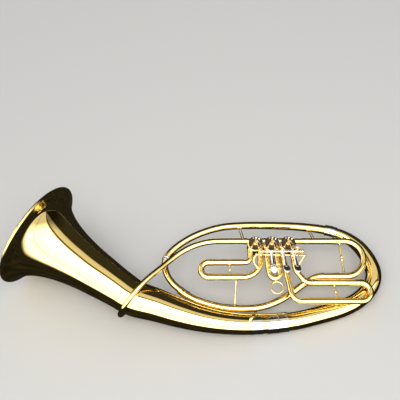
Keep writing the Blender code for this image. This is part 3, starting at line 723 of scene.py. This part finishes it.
def make_lever(number, x):
    hub_start, hub_end = LEVER_HUBS[number - 1]
    axle = Vector((0, AXLE_Y, AXLE_Z))
    tilt = math.radians(LEVER_RISE)
    root = Vector((x, AXLE_Y, AXLE_Z))
    reach = Vector((LEVER_SKEW[number - 1], -math.cos(tilt) * LEVER_REACH, math.sin(tilt) * LEVER_REACH))
    paddle = root + reach
    out = reach.normalized()
    normal = Vector((0, math.sin(tilt), math.cos(tilt)))
    side = normal.cross(-out)
    swing = math.radians(LEVER_TRAVEL / 2)
    arm_start = Vector((LINK_ARM_X[number - 1], AXLE_Y, AXLE_Z))
    arm_end = arm_start + Vector((0, math.sin(swing), math.cos(swing))) * LINK_ARM
    eye = arm_end - ACROSS * 3.1

    def lever(shape):
        length = hub_end - hub_start
        lathe(shape, [
            (2.35, 0.0), (3.4, 0.0), (3.4, 1.6), (3.0, 2.1), (3.0, length - 2.1), (3.4, length - 1.6),
            (3.4, length), (2.35, length),
        ], axle + ACROSS * hub_start, axle + ACROSS * hub_end, 40)
        stations = []
        for step in range(13):
            t = step / 12
            point = root + out * (2.6 + (LEVER_REACH - 6) * t) - normal * (0.9 * math.sin(math.pi * t))
            half = 3.5 - 0.8 * math.sin(math.pi * min(1.0, t * 1.1))
            outline = eased([
                (half, -0.9), (half, -0.45), (half - 2.4, 1.3), (0.8 - half, 1.3), (-half, 0.7),
                (-half, -0.9),
            ], 0.3, True)
            stations.append([point + side * across + normal * height for across, height in outline])
        skin(shape, [[root + out * 2.0], *stations, [root + out * (LEVER_REACH - 3.0)]])
        droop = Matrix.Rotation(math.radians(PADDLE_DROOP[number - 1]), 3, side)
        touch_piece(shape, paddle, side, droop @ out, droop @ normal)

    def arm(shape):
        aim = (arm_end - arm_start).normalized()
        sweep(shape, [
            (*(arm_start + aim * 2.2), 2.1), (*(arm_start + aim * 5.0), 1.55),
            (*(arm_start + aim * 10.0), 1.3), (*(arm_end - aim * 1.0), 1.35),
            (*(arm_end + aim * 0.4), 1.5), (*(arm_end + aim * 1.3), 0.9),
        ], 24, first_side=ACROSS)
        bar(shape, arm_end + ACROSS * 1.8, arm_end - ACROSS * 4.6, 1.0, 1.0, 20)
        lathe(shape, [
            (0.0, 0.0), (1.5, 0.0), (1.9, 0.5), (1.9, 1.0), (0.0, 1.3),
        ], arm_end - ACROSS * 4.3, arm_end - ACROSS * 6.0, 6, ease=0.1)

    piece(f"lever_piece_{number}", f"lever_{number}", NICKEL, lever, [f"lever_{number}"])
    piece(f"lever_arm_{number}", f"lever_{number}", SOLDERED, arm)

    crank = Vector((VALVE_X[number - 1], VALVE_Y, LINK_Z))
    crank += Vector((math.cos(CRANK_ANGLE), math.sin(CRANK_ANGLE), 0)) * CRANK_RADIUS
    aim = (crank - eye).normalized()

    def link(shape):
        lathe(shape, [(1.35, -1.0), (2.0, -1.0), (2.45, -0.4), (2.45, 0.4), (2.0, 1.0), (1.35, 1.0)],
              eye, eye + ACROSS, 32)
        bar(shape, eye + aim * 2.0, crank - aim * 1.6, 0.8, 0.8, 20)
        bar(shape, eye + aim * 2.2, eye + aim * 6.5, 1.35, 1.1, 6, ease=0.15)
        bar(shape, crank - aim * 6.4, crank - aim * 2.0, 1.1, 1.3, 6, ease=0.15)
        ball(shape, crank + UP * 0.75, 2.35)
        lathe(shape, [(0.0, 1.6), (1.5, 1.6), (1.5, 2.6), (1.2, 3.1), (0.0, 3.2)],
              crank, crank + UP, 24, ease=0.15)

    piece(f"link_rod_{number}", f"link_{number}", NICKEL, link, [f"link_{number}"])


def touch_piece(shape, center, side, out, normal):
    """The oval finger plate: a domed top with a round edge over a flat back."""
    half_width, half_length, thickness = 7.0, 10.0, 1.8
    levels = (
        (0.0, 1.10), (0.45, 1.06), (0.70, 0.95), (0.82, 0.78), (0.90, 0.55), (0.96, 0.28), (0.985, 0.05),
        (1.0, -0.2), (0.985, -0.4), (0.93, -0.55), (0.80, -0.66), (0.5, -0.72), (0.0, -0.74),
    )
    rings = []
    for share, height in levels:
        lift = normal * (height * thickness / 1.5)
        if share == 0.0:
            rings.append([center + lift])
            continue
        width, length = half_width * share, half_length * share
        rings.append([
            center + lift + side * (width * math.cos(a)) + out * (length * math.sin(a))
            for a in (2 * math.pi * step / 48 for step in range(48))
        ])
    skin(shape, rings)


def make_spring(number, start, end):
    """A torsion spring wound round the axle beside its lever, with a leg down to the rail."""
    turns, per_turn, coil, wire = 3, 28, 3.5, 0.45
    path = []
    for step in range(turns * per_turn + 1):
        angle = 2 * math.pi * step / per_turn
        along = start + wire + (end - start - 2 * wire) * step / (turns * per_turn)
        path.append((along, AXLE_Y + coil * math.cos(angle), AXLE_Z + coil * math.sin(angle), wire))
    last = path[-1]
    leg = [(last[0], last[1] + 0.1, AXLE_Z - 4.0, wire), (last[0], AXLE_Y + 2.6, 47.0, wire)]
    first = [(path[0][0], path[0][1] + 0.1, AXLE_Z - 3.0, wire)]

    def spring(shape):
        sweep(shape, first + path, 12)
        sweep(shape, [last, *leg], 12)

    piece(f"return_spring_{number}", "horn", STEEL, spring, [f"lever_spring_{number}"])


def make_lever_stand():
    left, right = AXLE_ENDS
    axle_line = [Vector((x, AXLE_Y, AXLE_Z)) for x in (left, right)]

    def axle(shape):
        bar(shape, axle_line[0], axle_line[1], AXLE_RADIUS, AXLE_RADIUS, 36)
        for end, aim in ((axle_line[0], -ACROSS), (axle_line[1], ACROSS)):
            ball(shape, end, 3.7, aim, 40)

    piece("axle", "horn", NICKEL, axle, ["lever_axle"])

    rail_left, rail_right = Vector((117.5, -139, 44)), Vector((217, -141, 44))
    rings = [Vector((x, AXLE_Y, AXLE_Z)) for x in (left + RING_INSET, right - RING_INSET)]

    def bracket(shape):
        bar(shape, rail_left, rail_right, 1.9, 1.9, 28)
        ball(shape, rail_left, 3.2)
        ball(shape, rail_right, 3.2)
        foot_left = Vector((119.3, -163.2, TUBE_Z + 6.4))
        foot_right = Vector((202, -163.5, TUBE_Z + 6.4))
        bend = smooth([
            (117.5, -139, 44, 1.75), (112.6, -145, 42.3, 1.7), (111.5, -152, 39.5, 1.7),
            (114.0, -158, 36.9, 1.7), (*foot_left, 1.75),
        ], 1.0)
        sweep(shape, bend, 24)
        sweep(shape, [(*rail_right, 1.7), (*foot_right, 1.7)], 24)
        for foot in (foot_left, foot_right):
            lathe(shape, [(0.0, 1.6), (1.9, 1.6), (2.6, 0.7), (3.6, 0.2), (3.6, -0.6), (0.0, -0.6)],
                  foot, foot + UP, 32)
        for ring in rings:
            lathe(shape, [(2.35, -1.5), (3.7, -1.5), (4.2, -1.0), (4.2, 1.0), (3.7, 1.5), (2.35, 1.5)],
                  ring, ring + ACROSS, 44)
            foot = Vector((ring.x, -139.6, 44))
            post = ring - UP * 3.4
            lathe(shape, [
                (0.0, 0.0), (2.6, 0.0), (2.6, 1.6), (1.5, 3.0), (1.4, 8.6), (2.2, 9.6), (2.2, 10.8),
                (1.4, 11.8), (1.4, 18.2), (2.0, 20.4), (0.0, 20.6),
            ], foot, post, 32)

    piece("lever_stand", "horn", SOLDERED, bracket, ["lever_bracket"])


# --- Slides -------------------------------------------------------------------------------------------------


def seam_ring(shape, place, aim, radius=SLEEVE_RADIUS):
    """The ferrule at a sleeve's open end: a plain band with a bead at its mouth."""
    lathe(shape, [
        (radius - 0.5, 0.0), (radius + 0.75, 0.0), (radius + 0.75, 1.7), (radius + 0.35, 2.4),
        (radius + 0.35, 7.0), (radius + 0.6, 7.4), (radius + 0.6, 8.4), (radius - 0.1, 8.8),
        (radius - 0.5, 8.8),
    ], place, Vector(place) + Vector(aim), 44)


def guide_ring(shape, place, aim, radius=SLEEVE_RADIUS):
    """The thin band on a slide's bow, which meets the sleeve's ferrule."""
    lathe(shape, [
        (radius - 0.5, 0.0), (radius + 0.65, 0.0), (radius + 0.65, 1.5), (radius + 0.3, 2.0),
        (radius + 0.3, 4.6), (radius - 0.1, 5.0), (radius - 0.5, 5.0),
    ], place, Vector(place) + Vector(aim), 44)


def turned_post(shape, center_a, radius_a, center_b, radius_b, flange=3.8, shaft=1.6, bulge=2.7, beads=1):
    """A turned post between two tubes, with its feet sunk a little into them."""
    center_a, center_b = Vector(center_a), Vector(center_b)
    along = (center_b - center_a).normalized()
    start = center_a + along * (radius_a - 0.5)
    end = center_b - along * (radius_b - 0.5)
    length = (end - start).length
    foot = min(2.2, length / 4)
    outline = [(0.0, 0.0), (flange, 0.0), (flange, 0.7), (flange * 0.72, foot * 0.6), (shaft, foot)]
    swell = bulge * 1.15
    for bead in range(beads):
        middle = length / 2 + (bead - (beads - 1) / 2) * swell * 1.6
        if length > 2 * foot + beads * swell * 1.7:
            outline += [
                (shaft, middle - swell * 0.8), (bulge * 0.8, middle - swell * 0.45), (bulge, middle),
                (bulge * 0.8, middle + swell * 0.45), (shaft, middle + swell * 0.8),
            ]
    outline += [
        (shaft, length - foot), (flange * 0.72, length - foot * 0.6), (flange, length - 0.7),
        (flange, length), (0.0, length),
    ]
    lathe(shape, outline, start, end, 36, ease=0.3)


def make_slides():
    y_main = VALVE_Y + PORT_OFFSET
    r, s, z = LEG_RADIUS, SLEEVE_RADIUS, TUBE_Z
    start = VALVE_X[2] + STUB_REACH + 0.3

    def fixed(name, path, seam, aim, nodes, radius=SLEEVE_RADIUS, bands=()):
        def maker(shape):
            sweep(shape, path, 40, TUBE_WALL)
            if seam:
                seam_ring(shape, seam, aim, radius)
            for distance, tube_radius in bands:
                collar(shape, path, distance, tube_radius, 0.6, 4.0)

        piece(name, "horn", BRASS, maker, nodes)

    def sliding(name, body, bow, ends, aim, legs, node_name, radius=SLEEVE_RADIUS):
        def maker(shape):
            sweep(shape, bow, 40, 0.7)
            for end in ends:
                guide_ring(shape, end, -Vector(aim), radius)

        piece(name + "_bow", body, BRASS, maker, [node_name])

        def leg_maker(shape):
            for leg_start, leg_end, leg_radius in legs:
                sweep(shape, [(*leg_start, leg_radius), (*leg_end, leg_radius)], 36, 0.5)

        piece(name + "_legs", body, NICKEL, leg_maker)

    fixed("main_slide_tube", smooth([
        (start, y_main, z, 5.9), (212, y_main, z, 5.9), (214, y_main, z, 6.0), (218, y_main, z, s),
        (222, y_main, z, s), (MAIN_SEAM, y_main, z, s),
    ], 2.0), (MAIN_SEAM, y_main, z), (-1, 0, 0), ["main_slide_sleeve"], bands=((2.2, 5.9),))
    seam = MAIN_SEAM + 0.4
    bend = (y_main + 181) / 2 - 0.01
    sliding("main_slide", "main_slide", rounded([
        (seam, y_main, z, s), (342, y_main, z, s), (342, -181, z, s), (seam, -181, z, s),
    ], bend), [(seam, y_main, z), (seam, -181, z)], (-1, 0, 0), [
        ((258, y, z), (seam + 2, y, z), r) for y in (y_main, -181)
    ], "main_slide")
    piece("main_slide_handle", "main_slide", SOLDERED, lambda shape: turned_post(
        shape, (293.5, y_main, z), s, (300, -181, z), s, shaft=1.9, bulge=3.2, beads=2, flange=4.4
    ), ["main_slide_brace"])

    port = VALVE_Y - SLIDE_STUB_REACH - 0.3
    fixed("slide_1_upper_tube", rounded([
        (VALVE_X[0] - PORT_OFFSET, port, z, 5.7), (VALVE_X[0] - PORT_OFFSET, -151, z, 5.7),
        (91, -151, z, 5.9), (87, -151, z, s), (SLIDE_1_SEAM, -151, z, s),
    ], 11), (SLIDE_1_SEAM, -151, z), (1, 0, 0), ["slide_1_upper_sleeve"], bands=((2.2, 5.7),))
    fixed("slide_1_lower_tube", rounded([
        (VALVE_X[0] + PORT_OFFSET, port, z, 5.7), (VALVE_X[0] + PORT_OFFSET, -183, z, 5.9),
        (87, -183, z, s), (SLIDE_1_SEAM, -183, z, s),
    ], 36), (SLIDE_1_SEAM, -183, z), (1, 0, 0), ["slide_1_lower_sleeve"], bands=((2.2, 5.7),))
    seam = SLIDE_1_SEAM - 0.4
    sliding("slide_1", "slide_1", rounded([
        (seam, -151, z, s), (2, -151, z, s), (2, -183, z, s), (seam, -183, z, s),
    ], 15.99), [(seam, -151, z), (seam, -183, z)], (1, 0, 0), [
        ((80, y, z), (seam - 2, y, z), r) for y in (-151, -183)
    ], "slide_1")

    axis = Vector((math.sin(SLIDE_2_LEAN), -math.cos(SLIDE_2_LEAN), 0))
    side = Vector((math.cos(SLIDE_2_LEAN), math.sin(SLIDE_2_LEAN), 0))
    origin = Vector((VALVE_X[1], port, z))
    half = PORT_OFFSET * math.cos(SLIDE_2_LEAN)

    def at(across, along, radius=None):
        place = origin + side * across + axis * along
        return place if radius is None else (*place, radius)

    for label, sign, first in (("left", -1, -0.2), ("right", 1, 2.4)):
        fixed(f"slide_2_{label}_tube", [Vector(at(sign * half, a, 6.1)) for a in (first, 34)],
              at(sign * half, 34), -axis, [f"slide_2_{label}_sleeve"], 6.1)
    sliding("slide_2", "slide_2", rounded([
        at(-half, 34.4, 6.1), at(-half, 43.5 + half, 6.1), at(half, 43.5 + half, 6.1), at(half, 34.4, 6.1),
    ], half - 0.01), [at(-half, 34.4), at(half, 34.4)], -axis, [
        (at(sign * half, 9), at(sign * half, 37), 4.8) for sign in (-1, 1)
    ], "slide_2", 6.1)
    low = 43.5 + half + 6.1 + 0.3
    center = origin + axis * (low + RING_WIRE + RING_RADIUS)

    def ring(shape):
        sweep(shape, [
            (*(center + Matrix.Rotation(math.radians(a), 3, "Z") @ (side * RING_RADIUS)), RING_WIRE)
            for a in range(0, 360, 5)
        ], 28, loop=True)
        neck = origin + axis * (low - 1.0)
        lathe(shape, [
            (0.0, 0.0), (3.3, 0.0), (3.3, 0.9), (2.1, 1.6), (2.0, 2.2), (0.0, 2.4),
        ], neck, neck + axis, 28)

    piece("slide_2_pull_ring", "slide_2", SOLDERED, ring, ["slide_2_ring"])

    fixed("slide_3_left_tube", rounded([
        (VALVE_X[2] - PORT_OFFSET, port, z, 5.7), (VALVE_X[2] - PORT_OFFSET, -138, z, 5.7),
        (191, -234, z, 5.9), (218, -234, z, 6.2), (222, -234, z, s), (SLIDE_3_SEAM, -234, z, s),
    ], 22), (SLIDE_3_SEAM, -234, z), (-1, 0, 0), ["slide_3_left_sleeve"], bands=((2.2, 5.7),))
    fixed("slide_3_right_tube", rounded([
        (VALVE_X[2] + PORT_OFFSET, port, z, 5.7), (VALVE_X[2] + PORT_OFFSET, -137, z, 5.7),
        (199, -168, z, 5.7), (219, -195, z, 5.9), (238, -195, z, s), (SLIDE_3_SEAM, -195, z, s),
    ], 20), (SLIDE_3_SEAM, -195, z), (-1, 0, 0), ["slide_3_right_sleeve"], bands=((2.2, 5.7),))
    seam = SLIDE_3_SEAM + 0.4
    sliding("slide_3", "slide_3", rounded([
        (seam, -195, z, s), (351, -195, z, s), (351, -234, z, s), (seam, -234, z, s),
    ], 19.49), [(seam, -195, z), (seam, -234, z)], (-1, 0, 0), [
        ((246, y, z), (seam + 2, y, z), r) for y in (-195, -234)
    ], "slide_3")


# --- Stays --------------------------------------------------------------------------------------------------


def make_stays():
    z = TUBE_Z
    s = SLEEVE_RADIUS

    def twin(shape, center_a, radius_a, center_b, radius_b):
        """Two thin posts side by side between a shared pair of feet."""
        for offset in (-2.3, 2.3):
            shift = ACROSS * offset
            turned_post(shape, Vector(center_a) + shift, radius_a, Vector(center_b) + shift, radius_b,
                        flange=2.9, shaft=1.1, bulge=1.1, beads=0)

    posts = (
        ("outer_stay_left", twin, ((84, -59.5, 0), 8.2, (92, -104.5, z), 6.3), {}),
        ("outer_stay_right", twin, ((232, -64, 0), 9.2, (242, -104.5, z), s), {}),
        ("slide_1_brace", turned_post, ((62, -151, z), s, (62, -183, z), s), {}),
        ("slide_3_brace", turned_post, ((276.5, -195, z), s, (281.5, -234, z), s), {}),
        ("slide_1_stay", turned_post, ((75, -183, z), s, (72, -242, 0), 7.3), {}),
        ("slide_3_stay", turned_post, ((279, -234, z), s, (282, -246.7, 0), 18.1), {"flange": 4.6}),
        ("leadpipe_stay", turned_post, ((-66, -152, 33.2), 5.9, (-74.5, -152, 0), 7.2), {}),
    )
    for name, maker, ends, shape_of in posts:
        piece(name + "_post", "horn", SOLDERED,
              lambda shape: maker(shape, *ends, **shape_of), [name])

    def leaf(shape):
        route = smooth([
            (119.4, -245.2, 5.2, 1.5), (118, -248, 9.5, 1.6), (114.5, -253.5, 16.5, 2.6),
            (109, -261.5, 22.6, 3.4), (104, -269, 24.4, 2.8), (101, -274.5, 22.8, 1.7),
            (99.6, -277, 21.2, 1.3),
        ], 1.0)
        sweep(shape, route, 28, squeeze=(1.0, 0.34))

    piece("bell_stay_plate", "horn", SOLDERED, leaf, ["bell_stay_leaf"])


# --- Studio -------------------------------------------------------------------------------------------------


def ground(name, half_width, height, material):
    """A flat square of the stage."""
    data = bpy.data.meshes.new(name)
    shape = bmesh.new()
    bmesh.ops.create_grid(shape, x_segments=1, y_segments=1, size=half_width)
    shape.to_mesh(data)
    shape.free()
    thing = bpy.data.objects.new(name, data)
    bpy.context.scene.collection.objects.link(thing)
    thing.location = (0.0, 0.0, height)
    data.materials.append(material)
    return thing


def make_floor():
    material = bpy.data.materials.new("pale_floor")
    material.use_nodes = True
    shader = material.node_tree.nodes["Principled BSDF"]
    shader.inputs["Base Color"].default_value = (0.74, 0.735, 0.725, 1.0)
    shader.inputs["Roughness"].default_value = 0.75
    ground("floor", 6.0, 0.0, material)


def make_lamp():
    """One wide soft lamp over the horn's front, which gives the floor its faint shadow."""
    light = bpy.data.lights.new("overhead", "AREA")
    light.shape = "RECTANGLE"
    light.size, light.size_y = 1.6, 0.9
    light.energy = 16.0
    thing = bpy.data.objects.new("overhead", light)
    bpy.context.scene.collection.objects.link(thing)
    thing.location = (0.1, -0.9, 1.9)
    thing.rotation_euler = (-thing.location).to_track_quat("-Z", "Y").to_euler()


def unlit(name):
    """A material that only glows, its tree, and the node that glows."""
    material = bpy.data.materials.new(name)
    material.use_nodes = True
    tree = material.node_tree
    tree.nodes.remove(tree.nodes["Principled BSDF"])
    glow = node(tree, "ShaderNodeEmission")
    tree.links.new(glow.outputs["Emission"], tree.nodes["Material Output"].inputs["Surface"])
    return material, tree, glow


def make_sky():
    """A plain soft sky to light by. Polished metal sees white cards in it, with dark gaps between them."""
    world = bpy.data.worlds.new("studio")
    bpy.context.scene.world = world
    world.use_nodes = True
    tree = world.node_tree
    aim = node(tree, "ShaderNodeTexCoord").outputs["Generated"]
    parts = node(tree, "ShaderNodeSeparateXYZ", {"Vector": aim}).outputs
    turn = worked(tree, "ARCTAN2", parts["Z"], worked(tree, "MULTIPLY", parts["Y"], -1.0))
    share = worked(tree, "DIVIDE", turn, math.pi)
    cards = ramp(tree, share, [
        (0.0, grey(CARD)), (0.138, grey(CARD)), (0.143, grey(0.6)), (0.151, grey(0.6)), (0.156, grey(CARD)),
        (0.446, grey(CARD)), (0.458, GAP), (0.490, GAP), (0.500, (0.98, 0.95, 0.88)),
        (0.612, (0.84, 0.81, 0.72)), (0.632, DARK_ROOM), (1.0, DARK_ROOM),
    ])
    sideways = spread(tree, parts["X"], -1.0, 1.0, 0.0, 1.0)
    left = ramp(tree, sideways, [(0.10, grey(1.0)), (0.21, grey(0.0))])
    right = ramp(tree, sideways, [(0.86, grey(1.0)), (0.95, grey(0.25))])
    faded = blended(tree, 1.0, cards, right, blend_type="MULTIPLY")
    shone = blended(tree, left, faded, (*SIDE_CARD, 1.0))
    ray = node(tree, "ShaderNodeLightPath").outputs
    lit = blended(tree, ray["Is Glossy Ray"], (*PLAIN_SKY, 1.0), shone)
    tree.links.new(lit, tree.nodes["Background"].inputs["Color"])


def make_cards():
    """What the metal sees below the horizon: a black cloth, with pale ground far in front of the horn.

    Only reflections show it, so the floor stays plain and pale, while the tubes keep the dark flanks and the
    sharp bright band that they have on a dark lining.
    """
    material, tree, glow = unlit("cloth_and_card")
    place = node(tree, "ShaderNodeTexCoord").outputs["Object"]
    nap = noise(tree, place, 16.0, 5.0, Roughness=0.65)
    cloth = ramp(tree, nap, [(0.3, grey(0.004)), (0.75, (0.045, 0.042, 0.033))])
    oval = node(tree, "ShaderNodeMapping", {
        "Vector": place, "Location": (-0.02, 0.0, 0.0), "Scale": (1.0, 1.55, 1.0),
    })
    distance = node(tree, "ShaderNodeVectorMath", {0: oval.outputs["Vector"]}, operation="LENGTH")
    outside = ramp(tree, distance.outputs["Value"], [(0.660, grey(0.0)), (0.675, grey(1.0))])
    height = node(tree, "ShaderNodeSeparateXYZ", {"Vector": place}).outputs["Y"]
    front = spread(tree, height, -0.9, -2.2, 0.02, 1.3)
    tree.links.new(blended(tree, outside, cloth, front), glow.inputs["Color"])
    card = ground("reflection_card", 80.0, 0.0006, material)
    for kind in ("camera", "diffuse", "transmission", "volume_scatter", "shadow"):
        setattr(card, f"visible_{kind}", False)


def make_camera():
    data = bpy.data.cameras.new("photo_view")
    data.lens = CAMERA_LENS
    data.sensor_width = 36.0
    thing = bpy.data.objects.new("photo_view", data)
    bpy.context.scene.collection.objects.link(thing)
    place = Matrix.Translation(Vector(CAMERA_PLACE) * MM) @ Matrix.Rotation(CAMERA_TILT, 4, "X")
    thing.matrix_world = INSTRUMENT @ place
    bpy.context.scene.camera = thing


make_camera()
make_sky()
make_cards()
make_lamp()
make_floor()
make_bell()
make_body()
for number, x in enumerate(VALVE_X, start=1):
    make_valve(number, x)
for number, x in enumerate(LEVER_X, start=1):
    make_lever(number, x)
for number, (start, end) in enumerate(SPRINGS, start=1):
    make_spring(number, start, end)
make_lever_stand()
make_knuckles()
make_slides()
make_stays()

bpy.context.scene.view_settings.view_transform = "Standard"

bpy.context.view_layer.update()
